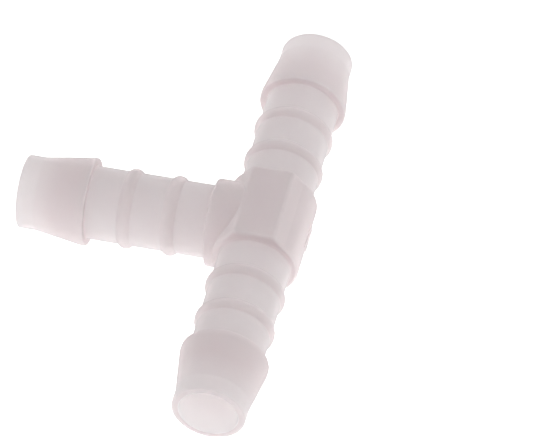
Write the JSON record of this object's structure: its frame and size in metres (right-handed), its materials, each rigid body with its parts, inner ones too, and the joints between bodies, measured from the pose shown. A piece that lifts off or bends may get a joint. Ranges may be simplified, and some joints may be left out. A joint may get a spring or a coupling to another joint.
{
  "type": "barbed tee connector",
  "caption": "Equal barbed tee that joins a branch hose to a run of 13 mm irrigation hose, with a straight water way through every tail.",
  "frame": {"origin": "the crossing of the run's axis and the branch's axis, inside the hub", "axes": "+X along the run from the left mouth to the right mouth, +Y out along the branch, +Z square to both"},
  "size_m": [0.0806, 0.0493, 0.0152],
  "materials": {
    "natural_plastic": "satin natural polypropylene, uncoloured and slightly translucent"
  },
  "bodies": {
    "root": {"hub": "natural_plastic", "run_tail_left": "natural_plastic", "run_tail_right": "natural_plastic", "branch_tail": "natural_plastic"}
  },
  "joints": []
}
